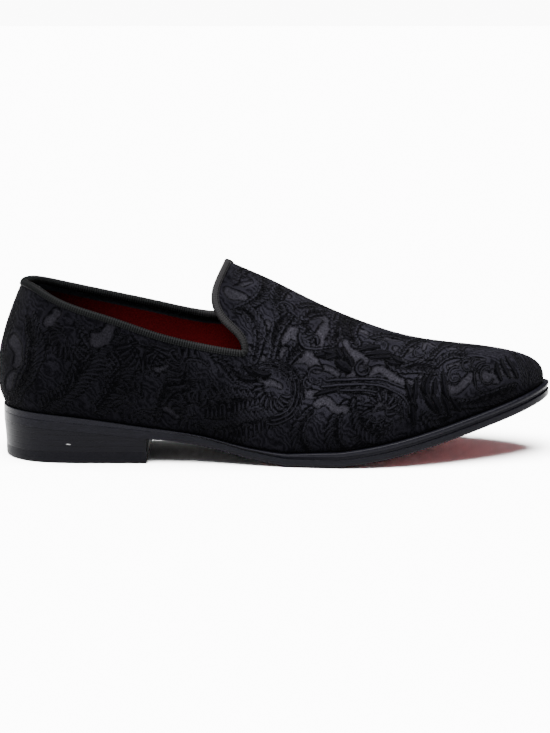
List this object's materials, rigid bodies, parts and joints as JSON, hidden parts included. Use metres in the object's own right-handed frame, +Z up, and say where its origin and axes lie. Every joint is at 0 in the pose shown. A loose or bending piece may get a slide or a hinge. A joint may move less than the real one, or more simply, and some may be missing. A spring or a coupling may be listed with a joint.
{
  "type": "velvet slipper loafer",
  "caption": "Black cut-velvet slipper loafer with a ribbed tape edge, red lining and a low stacked heel, right shoe.",
  "frame": {"origin": "on the floor, under the middle of the heel", "axes": "+X to the toe, +Y to the inner side of the foot, +Z up"},
  "size_m": [0.3022, 0.0951, 0.1072],
  "materials": {
    "cut_velvet": "cut pile on a matt ground",
    "ribbed_tape": "matt cross ribs",
    "sole_edge": "satin",
    "heel_stack": "satin",
    "heel_rubber": "matt",
    "red_lining": "matt"
  },
  "bodies": {
    "root": {"upper": "cut_velvet", "topline_binding": "ribbed_tape", "welt": "sole_edge", "outsole": "sole_edge", "heel_block": "heel_stack", "heel_top_piece": "heel_rubber", "insole": "red_lining"}
  },
  "joints": []
}
